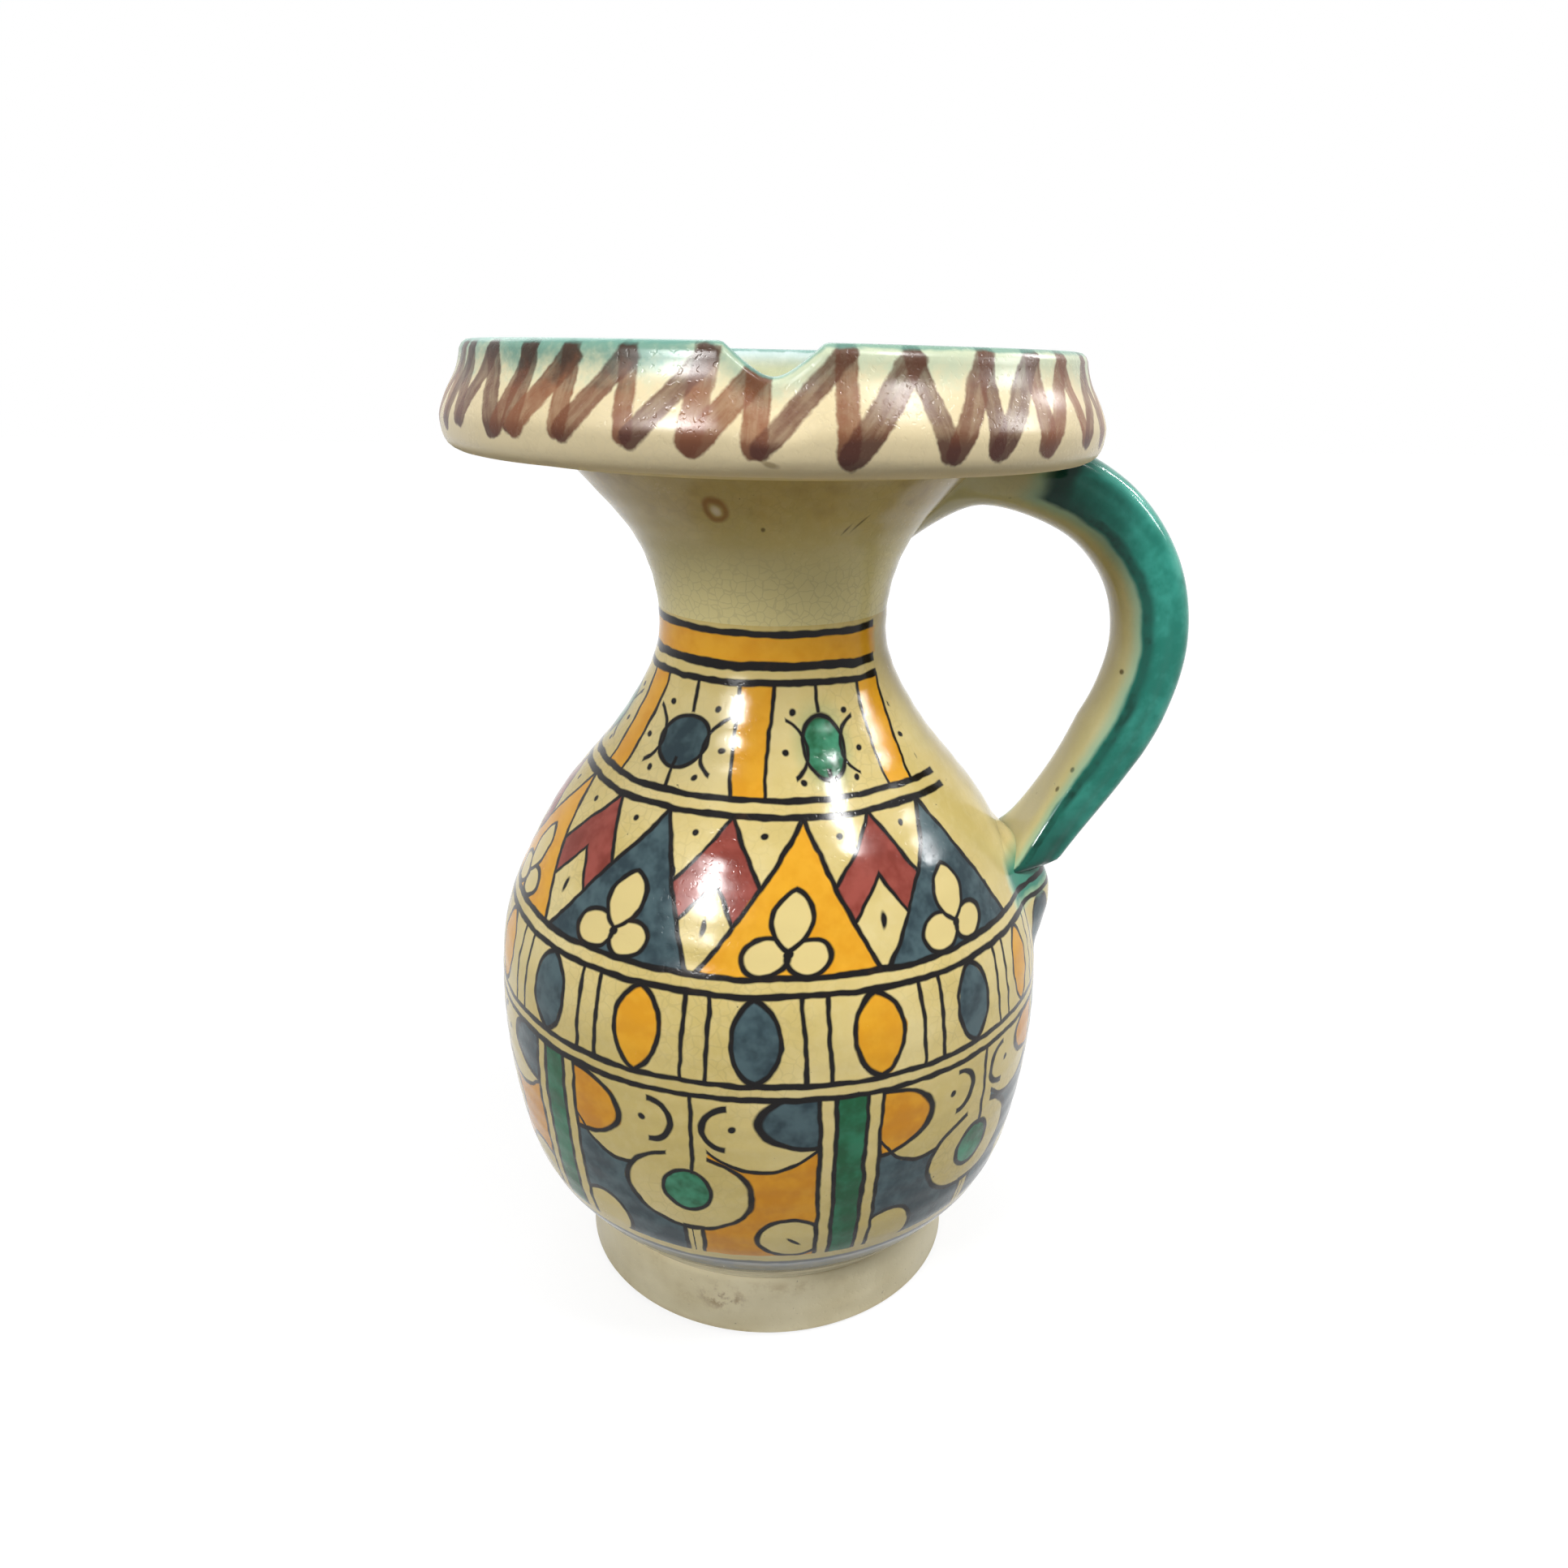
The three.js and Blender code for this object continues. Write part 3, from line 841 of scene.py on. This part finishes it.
def triangle_band(colour, brush, az, up, deg, strip):
    """Big leaning triangles with a trefoil, red chevrons between their tops and lozenges at their feet."""
    base, top = rise(141.4), rise(178.4)
    t = (up - base) / (top - base)
    turn = (TRIANGLE_START - (az - t * TRIANGLE_LEAN)) / TRIANGLE_PITCH
    cell = floor(turn)
    x = (cell + 0.5 - turn) * TRIANGLE_PITCH
    side = abs(x)
    slope = deg * 0.86
    triangle = (side - (1 - t) * 18.2) * slope
    gap = TRIANGLE_PITCH / 2 - side
    roof = (gap - (1 - t) * 23.4) * slope
    under = (gap - (0.585 - t) * 23.4) * slope
    band = within(most(base - up, up - top)) * fade(strip, 26.0, 27.5)
    beyond = (45.5 - strip) * deg
    brick = within(most(most(roof, -under), -triangle, beyond)) * band
    colour = mix(brick, colour, brush.fill(BRICK_DEEP, BRICK))
    pigment = mix(odd(cell), brush.fill(SLATE_DEEP, SLATE), brush.fill(OCHRE_DEEP, OCHRE))
    colour = mix(within(triangle + brush.spill) * band, colour, pigment)
    y = up - base
    across = x * deg
    top_petal = almond(across + 0.6, y - 15.8, 5.5, 8.4)
    left_petal = ellipse(across + 6.7, y - 5.7, 6.5, 5.2)
    right_petal = ellipse(across - 5.2, y - 5.5, 5.9, 5.0)
    petals = least(top_petal, left_petal, right_petal)
    colour = mix(within(most(petals, triangle + 1)) * band, colour, CREAM)
    outlines = least(abs(top_petal), most(abs(left_petal), -top_petal), most(abs(right_petal), -top_petal))
    knot = length(across + 0.3, y - 6.6) - 1.4
    outlines = most(least(outlines - brush.weight * 0.65, knot), triangle)
    outlines = least(outlines, abs(triangle) - brush.weight * 0.65)
    ridges = least(abs(roof), most(abs(under), (t - 0.6) * 40)) - brush.weight * 0.6
    outlines = least(outlines, most(ridges, -triangle, beyond))
    dash = ellipse(gap * deg, y - 13, 0.9, 2.4)
    dot = length((gap - 9.5) * deg, up - rise(174)) - 1.0
    outlines = least(outlines, most(least(dash, dot), beyond))
    return mix(within(outlines) * band, colour, brush.ink)


def almond_band(colour, brush, az, up, deg):
    """Almonds, slate and ochre by turns, with a pair of thin bars between."""
    az = az + calc("LESS_THAN", az, -180.0) * 360
    crowded = fade(az, 46, 82, 0.0, 8.0) * fade(az, 160, 100)
    turn = (az + crowded - ALMOND_START) / ALMOND_PITCH + 0.5
    cell = floor(turn)
    x = (turn - cell - 0.5) * ALMOND_PITCH * deg
    y = up - (rise(137.1) + rise(112.6)) / 2
    leaf = almond(x, y, 7.0, 12.2) * 0.5 + ellipse(x, y, 7.0, 11.8) * 0.5
    band = within(abs(y) - (rise(137.1) - rise(112.6)) / 2)
    pigment = mix(odd(cell), brush.fill(SLATE_DEEP, SLATE), brush.fill(OCHRE_DEEP, OCHRE))
    colour = mix(within(leaf + brush.spill) * band, colour, pigment)
    bar = abs(deg * (ALMOND_PITCH / 2) - abs(x) - 3.4)
    ink = least(abs(leaf), bar) - brush.weight * 0.62
    return mix(within(ink) * band, colour, brush.ink)


def lower_band(colour, brush, az, up):
    """Green bars with a ringed oval between them on a line, lobes from the sides, and fields below."""
    turn = (az - LOWER_START) / LOWER_PITCH
    panel = floor(turn)
    wide = 1.5
    x = (turn - panel - 0.5) * LOWER_PITCH * wide
    bar = LOWER_PITCH / 2 * wide - abs(x)
    third = panel / 3
    plain = within(abs((third - floor(third)) * 3 - 0.0) - 0.5, 0.01)
    band = within(most(rise(LOWER_END) - up, up - rise(108.4)))
    edge = 24.2 * wide
    left_lobe = ellipse(x + edge, up - rise(97), 16, 10.5)
    right_lobe = ellipse(x - edge, up - rise(101.2), 16, 8.8)
    ring = ellipse(x + 0.3, up - rise(74.5), 18.6, 14.2)
    oval = ellipse(x + 0.4, up - rise(75.2), 7.4, 7.7)
    swing = x + 21.8
    bow_left = rise(80.5) + swing * swing * (calc("LESS_THAN", swing, 0.0) * 0.023 + 0.03) - up
    bow_right = rise(84.6) + (x - 20.3) * (x - 20.3) * 0.029 - up
    bow = most(least(bow_left, x * -4), least(bow_right, x * 4))
    stem = most(abs(x - 0.4) - 2.6, up - rise(61))
    corner_left = ellipse(x + 30.5, up - rise(54.5), 8.8, 9.6)
    corner_right = ellipse(x - 29, up - rise(57.5), 10.0, 8.2)
    corners = least(corner_left, corner_right)
    ochre = brush.fill(OCHRE_BROWN, OCHRE_DEEP)
    slate = brush.fill(SLATE_DEEP, SLATE)
    throat = least(6.4 - abs(x), up - rise(76))
    field = most(most(-bow, -ring, throat), most(-stem, -corners))
    right = within(x * -1, 0.2)
    field_colour = mix(right * (1 - plain), slate, ochre)
    inside_panel = within(abs(x) - edge) * band
    colour = mix(within(field + brush.spill) * inside_panel, colour, field_colour)
    colour = mix(within(left_lobe + brush.spill) * inside_panel, colour, ochre)
    colour = mix(within(right_lobe + brush.spill) * inside_panel, colour, mix(plain, slate, ochre))
    colour = mix(within(oval) * inside_panel, colour, brush.fill(LEAF_DEEP, LEAF))
    opening = most(abs(ring), throat)
    lines = least(abs(left_lobe), abs(right_lobe), opening, abs(oval + 0.3))
    lines = least(lines, most(abs(bow), -ring, throat), most(abs(stem), up - rise(61)))
    lines = least(lines, abs(corner_left), abs(corner_right))
    lines = least(lines, most(abs(x - 1.4), rise(82) - up))
    curls = abs(length(abs(x) - 11.2, up - rise(98.6)) - 6.7)
    lines = least(lines, most(curls - 0.2, abs(x) - 10.4)) - brush.weight * 0.66
    dots = length(abs(x) - 12.8, up - rise(98.8)) - 1.1
    dash = ellipse(x - 30 + (up - rise(56.3)), up - rise(56.3), 1.0, 1.7)
    lines = least(lines, dots, dash)
    colour = mix(within(lines) * inside_panel, colour, brush.ink)
    colour = mix(within(bar - 4.2) * band, colour, mix(brush.dense, LEAF_DEEP, LEAF_BAR))
    rails = least(abs(bar - 4.3), abs(bar - 8.6)) - brush.weight * 0.62
    return mix(within(rails) * band, colour, brush.ink)


def painted_collar(material_name):
    """Cream collar with a brushed zigzag in translucent brown and a green wash along the rim."""
    material = new_material(material_name)
    az, height, place = coordinates()
    quiver = grain(place, 3, 2.0, 0.6, 21.0)
    outer = fade(outward(place), 0.0, 0.3)
    colour = mix(outer * 0.7, cream(place), COLLAR_CREAM)
    # Painted highlight: pale bluish white on the upper inside of the collar
    colour = mix(fade(height, 276, 288) * (1 - outer), colour, COLLAR_PAINTED_HIGHLIGHT)
    ragged = (quiver[2] - 0.5) * 9 + (grain(place, 14, 2.0, 0.5, 22.0)[0] - 0.5) * 13
    sides = most(fade(az, 2, -16, 0.12, 1.0) * fade(az, -150, -100, 0.3, 1.0), 0.12)
    washed = fade(height + ragged, 288, 298)
    colour = mix(washed * outer * 0.75, colour, WASH_PALE)
    colour = mix(fade(height + ragged, 292, 299.5, 0.0, 0.85) * sides, colour, TEAL_WASH)
    tips = fade(height, STROKE_FOOT + 5, STROKE_FOOT - 1, 0.0, 0.55)
    for layer in STROKE_LAYERS:
        stroke = node("Attribute", {}, attribute_name=layer)
        parts = node("SeparateXYZ", {0: Field(stroke.outputs["Vector"])})
        edge, across, load = (Field(parts.outputs[k]) for k in range(3))
        lie = node("CombineXYZ", {0: across * 0.6, 1: load * 40, 2: height * 0.1})
        hairs = node("TexNoise", {"Vector": Field(lie.outputs[0]), "Scale": 1.0, "Detail": 2.0})
        body = fade(Field(hairs.outputs[0]), 0.3, 0.62, 0.76, 0.9) + (quiver[3] - 0.5) * 0.3
        cover = within(edge + (quiver[1] - 0.5) * 1.6, 0.45) * outer
        pigment = mix(least(load * 0.8 + tips, 1.0), MANGANESE, MANGANESE_DEEP)
        pigment = mix(washed * (0.3 + sides * 0.6), pigment, MANGANESE_BLACK)
        colour = mix(cover * least(body + tips * 0.5, 0.95), colour, pigment)
    tail = ellipse((az - DRIP[0]) * COLLAR_DEGREE + (height - DRIP[1]), height - DRIP[1], 1.4, 0.9)
    colour = mix(within(tail + (quiver[1] - 0.5) * 1.6, 0.5) * outer * 0.6, colour, DRIP_BROWN)
    colour = mix(fade(height + ragged * 0.12, 298.6, 299.6, 0.0, 0.75), colour, TEAL_WASH)
    facing = node("SeparateXYZ", {0: Field(node("NewGeometry", {}).outputs["Normal"])})
    roughness = fade(Field(facing.outputs[2]), -0.4, -0.8, 0.26, 0.7)
    return finish(material, colour, place, roughness, 0.0, 0.25)


def zigzag():
    """Ends of the collar's strokes all round: as on the side that shows, and then by chance as far as it."""
    seeded = random.Random(STROKE_SEED)
    points = list(ZIGZAG)
    direction = points[-1][0]
    while direction < points[0][0] + 360 - 1.4 * STROKE_PITCH:
        direction += STROKE_PITCH * seeded.uniform(0.75, 1.25)
        points.append((direction, STROKE_TOP + seeded.uniform(-1.5, 0.8)))
        points.append((direction + seeded.uniform(-1.5, 2), STROKE_FOOT + seeded.uniform(-2.5, 2)))
    return points + [(points[0][0] + 360, points[0][1])]


def brush_zigzag(collar):
    """Keeps, at each point of the collar, its distance from the nearest strokes and their load of paint."""
    seeded = random.Random(STROKE_SEED + 1)
    points = zigzag()
    spots = np.array([v.co / MM for v in collar.data.vertices])
    direction = np.degrees(np.arctan2(spots[:, 0], -spots[:, 1]))
    values = {layer: np.tile((99.0, 0.0, 0.0), (len(spots), 1)) for layer in STROKE_LAYERS}
    for number, (start, stop) in enumerate(zip(points, points[1:])):
        layer = values[STROKE_LAYERS[number % 2]]
        half = STROKE_HALF * seeded.uniform(0.85, 1.15)
        load = seeded.random()
        reach = np.array(((stop[0] - start[0]) * COLLAR_DEGREE, stop[1] - start[1]))
        side = (direction - start[0] + 180) % 360 - 180
        offset = np.column_stack((side * COLLAR_DEGREE, spots[:, 2] - start[1]))
        span = math.hypot(*reach)
        along = offset @ reach / span
        across = offset @ np.array((reach[1], -reach[0])) / span
        past_top, past_foot = (along - span, -along) if number % 2 else (-along, along - span)
        away = np.maximum(np.abs(across) - half, past_top - STROKE_OVERRUN)
        tip = past_foot + STROKE_SHORT
        away = np.where(tip > 0, np.hypot(across, tip) - half, away)
        nearer = away < layer[:, 0]
        layer[nearer] = np.column_stack((away, across, np.full(len(spots), load)))[nearer]
    for layer, table in values.items():
        attribute = collar.data.attributes.new(layer, "FLOAT_VECTOR", "POINT")
        attribute.data.foreach_set("vector", table.astype(np.float32).ravel())


def outward(place):
    """How far a surface faces away from the axis, from 1 outside to -1 inside."""
    normal = Field(node("NewGeometry", {}).outputs["Normal"])
    flat = Field(node("VectorMath", {0: place, 1: (1, 1, 0)}, operation="MULTIPLY").outputs[0])
    away = Field(node("VectorMath", {0: flat}, operation="NORMALIZE").outputs[0])
    return Field(node("VectorMath", {0: normal, 1: away}, operation="DOT_PRODUCT").outputs["Value"])


def plain_glaze(material_name):
    material = new_material(material_name)
    az, height, place = coordinates()
    outer = fade(outward(place), -0.05, 0.05)
    # Paler, greener glaze low on the neck: partly its own tint, partly painted light below the collar's shade
    colour = mix(fade(height, 264, 240, 0.1, 0.75) * outer, cream(place), NECK_OLIVE)
    # Painted shade: darker brown toward the top of the neck, under the collar's overhang
    colour = mix(fade(height, 244, 268, 0.0, 0.34) * outer, colour, NECK_PAINTED_SHADE)
    colour = mix(cracks(place, 2.8, 0.22) * fade(height, 254, 236, 0.0, 0.12), colour, INK_THIN)
    shape = grain(place, 9, 2.0, 0.5, 31.0)
    stain = fade(shape[2], 0.48, 0.7) * fade(height, 248, 266, 0.0, 0.3)
    colour = mix(stain * outer, colour, NECK_STAIN)
    spot = length((az - PIT[0]) * NECK_DEGREE, height - PIT[1]) + (shape[1] - 0.5) * 4
    colour = mix(within(abs(spot - 2.6) - 0.9, 0.8) * outer * 0.75, colour, PIT_RING)
    colour = mix(within(spot - 1.1, 0.7) * outer, colour, PIT_CLAY)
    across = (az - SCRATCH[0]) * NECK_DEGREE
    along = height - SCRATCH[1]
    scratch = least(ellipse(across - along * 0.7, along, 0.4, 2.0),
                    ellipse(across + 2.4 - along * 0.6, along + 1.6, 0.35, 1.2))
    speck = length((az - SPECK[0]) * NECK_DEGREE, height - SPECK[1]) - 0.6
    colour = mix(within(least(scratch, speck)) * outer * 0.7, colour, INK_THIN)
    return finish(material, colour, place, 0.17)


def green_glaze(material_name):
    material = new_material(material_name)
    turn, along, place = coordinates()
    # Greener, greyer cream all over the handle: partly a thin green wash, partly painted shade
    colour = mix(0.6, cream(place), HANDLE_CREAM)
    brush = Brush(place)
    drip = grain(place, 11, 2.0, 0.5, 41.0)
    angle = abs(turn) + (drip[1] - 0.5) * 16
    # Painted shade: the cream turns duller and darker toward the handle's inner side
    colour = mix(fade(angle, 136, 172, 0.0, 0.45), colour, HANDLE_PAINTED_SHADE)
    for side, distance in HANDLE_SPECKS:
        speck = length((turn - side) * HANDLE_DEGREE, along - distance)
        colour = mix(fade(speck, 1.3, 0.5, 0.0, 0.8), colour, INK_THIN)
    ends = most(40 - along, along - 196) + (drip[2] - 0.5) * 8
    cover = fade(angle, 121, 112) * fade(ends, 3, -3)
    # Painted highlight: paler green along the crest of the ridge
    crest_highlight = fade(abs(angle - 34), 26, 6)
    # Darker green along the green's inner border and toward both ends, deepest under the collar
    darker_green = fade(abs(angle - 106), 15, 3) * (0.5 + brush.patch * 0.45)
    darker_green = most(darker_green, fade(ends, -46, -8) * fade(angle, 40, 70) * 0.8)
    darker_green = most(darker_green, fade(ends, -22, -5) * 0.95)
    green = mix(brush.dense, HANDLE_MID, HANDLE_GREEN)
    green = mix(crest_highlight * (0.15 + brush.patch * 0.4), green, HANDLE_THIN_AND_HIGHLIGHT)
    green = mix(darker_green, green, HANDLE_DARK)
    bleed = fade(angle, 142, 116) * fade(ends, 9, 0) * 0.5
    colour = mix(bleed, colour, HANDLE_THIN_AND_HIGHLIGHT)
    colour = mix(cover, colour, green)
    return finish(material, colour, place, 0.1)


def foot_clay(material_name):
    material = new_material(material_name)
    az, height, place = coordinates()
    cloud = grain(place, 30, 3.0, 0.6, 51.0)
    fine = grain(place, 1.6, 3.0, 0.6, 52.0)
    colour = mix(fade(cloud[0], 0.35, 0.7), CLAY, CLAY_DEEP)
    colour = mix(fade(cloud[1], 0.58, 0.72, 0.0, 0.5) * fade(fine[1], 0.4, 0.65), colour, CLAY_DARK)
    colour = mix(fade(fine[0], 0.66, 0.74, 0.0, 0.5), colour, FOOT_GRAIN)
    blot = grain(place, 5, 3.0, 0.65, 53.0)
    stain = ellipse((az - FOOT_STAIN[0]) * FOOT_DEGREE, height - FOOT_STAIN[1], 8.0, 5.0)
    colour = mix(fade(stain, 2.0, -4.0) * fade(blot[0], 0.45, 0.62, 0.0, 0.75), colour, STAIN_BROWN)
    smear = ellipse((az - FOOT_SMEAR[0]) * FOOT_DEGREE, height - FOOT_SMEAR[1], 26.0, 2.6)
    colour = mix(fade(smear, 1.5, -2.0) * fade(blot[1], 0.4, 0.65, 0.0, 0.4), colour, CLAY_DARK)
    # Darker towards the bottom edge of the foot
    darker_bottom = fade(height + (cloud[2] - 0.5) * 6, 3.5, 0.5, 0.0, 0.3)
    colour = mix(darker_bottom, colour, CLAY_DARK)
    return finish(material, colour, place, 0.34, 0.45, 0.3)


def build():
    painted = painted_belly("painted_glaze")
    plain = lambda r, z, a: (hand_thrown(r, z, a), z)
    same = lambda z: z
    foot_shape = lambda r, z, a: (r if z < 1 else hand_thrown(r, z, a), z)
    collar_shape = lambda r, z, a: (hand_thrown(r, z, a), askew(r, z, a))
    turned("jug_foot", "base_foot", foot_clay("foot_clay"), same, foot_shape)
    turned("jug_belly", "belly", painted, rise, plain)
    turned("jug_neck", "neck", plain_glaze("cream_glaze"), same, plain)
    collar = turned("jug_collar", "rim_collar", painted_collar("collar_glaze"),
                    same, collar_shape, COLLAR_COLUMNS)
    cut_notch(collar)
    brush_zigzag(collar)
    handle_mesh(green_glaze("green_glaze"))
    pad_mesh(painted)


def cut_notch(collar):
    """Draws the rim's front down into a rounded V, as a cut that a finger has softened."""
    half = NOTCH_WIDTH / 2
    for vertex in collar.data.vertices:
        x, y, z = vertex.co / MM
        if y > 0 or abs(x) > half * 1.6 or z < RIM_TOP - 2 * NOTCH_DEPTH - NOTCH_REACH:
            continue
        share = abs(x) / half
        bend = lambda v: math.hypot(v, NOTCH_ROUND) - NOTCH_ROUND
        dip = NOTCH_DEPTH * max(0, 1 - bend(share) / bend(1))
        floor_z = RIM_TOP - 2 * NOTCH_DEPTH - NOTCH_REACH
        lift = max(0, min(1, (z - floor_z) / (2 * NOTCH_DEPTH + NOTCH_REACH)))
        vertex.co.z -= dip * lift * MM


# Stage

def aim(direction, elevation):
    a, e = direction * DEG, elevation * DEG
    return Vector((math.sin(a) * math.cos(e), -math.cos(a) * math.cos(e), math.sin(e)))


def make_camera():
    pitch, yaw, roll = (v * DEG for v in (CAMERA_PITCH, CAMERA_YAW, CAMERA_ROLL))
    ahead = Vector((math.sin(yaw) * math.cos(pitch), math.cos(yaw) * math.cos(pitch), -math.sin(pitch)))
    right = Vector((math.cos(yaw), -math.sin(yaw), 0))
    above = right.cross(ahead)
    across = math.cos(roll) * right + math.sin(roll) * above
    upward = -math.sin(roll) * right + math.cos(roll) * above
    data = bpy.data.cameras.new("camera")
    data.sensor_width = SENSOR_MM
    data.lens = FOCAL_PIXELS / FRAME_PIXELS * SENSOR_MM
    data.clip_start = 0.01
    camera = bpy.data.objects.new("camera", data)
    turn = Matrix((across, upward, -ahead)).transposed().to_4x4()
    camera.matrix_world = Matrix.Translation(CAMERA_AT) @ turn
    bpy.context.scene.collection.objects.link(camera)
    bpy.context.scene.camera = camera


def make_lamps():
    for name, direction, elevation, distance, width, height, watts in LAMPS + GLEAMS:
        data = bpy.data.lights.new(name, "AREA")
        data.shape = "ELLIPSE"
        data.size, data.size_y = width, height
        data.energy = watts
        lamp = bpy.data.objects.new(name, data)
        lamp.visible_diffuse = name.startswith("lamp")
        lamp.location = LAMP_AIM + aim(direction, elevation) * distance
        lamp.rotation_euler = (LAMP_AIM - lamp.location).to_track_quat("-Z", "Y").to_euler()
        bpy.context.scene.collection.objects.link(lamp)


def make_floor():
    global tree
    mesh = bpy.data.meshes.new("floor")
    mesh.from_pydata([(-4, -4, 0), (4, -4, 0), (4, 4, 0), (-4, 4, 0)], [], [(0, 1, 2, 3)])
    floor_piece = bpy.data.objects.new("floor", mesh)
    bpy.context.scene.collection.objects.link(floor_piece)
    material = new_material("floor_white")
    seen = seen_rays()
    matte = node("BsdfDiffuse", {"Color": (FLOOR_WHITE, FLOOR_WHITE, FLOOR_WHITE, 1)})
    place = Field(node("TexCoord", {}).outputs["Object"])
    away = Field(node("VectorMath", {0: place}, operation="LENGTH").outputs["Value"])
    glow = node("Emission", {"Color": (1, 1, 1, 1), "Strength": seen * fade(away, 0.15, 1.6, 0.82, 0.98)})
    both = node("AddShader", {0: Field(matte.outputs[0]), 1: Field(glow.outputs[0])})
    node("OutputMaterial", {"Surface": Field(both.outputs[0])})
    mesh.materials.append(material)
    world = bpy.data.worlds.new("studio")
    bpy.context.scene.world = world
    world.use_nodes = True
    tree = world.node_tree
    tree.nodes.clear()
    strength = seen_rays() * (1 - SKY_STRENGTH) + SKY_STRENGTH
    sky = node("Background", {"Color": (1, 1, 1, 1), "Strength": strength})
    node("OutputWorld", {"Surface": Field(sky.outputs[0])})


def seen_rays():
    """1 for rays that show the background itself: straight from the camera, mirrored or through glass."""
    path = node("LightPath", {})
    rays = [Field(path.outputs[k]) for k in ("Is Camera Ray", "Is Glossy Ray", "Is Transmission Ray")]
    return most(*rays)


make_camera()
make_lamps()
make_floor()
build()
bpy.context.scene.view_settings.view_transform = "Standard"
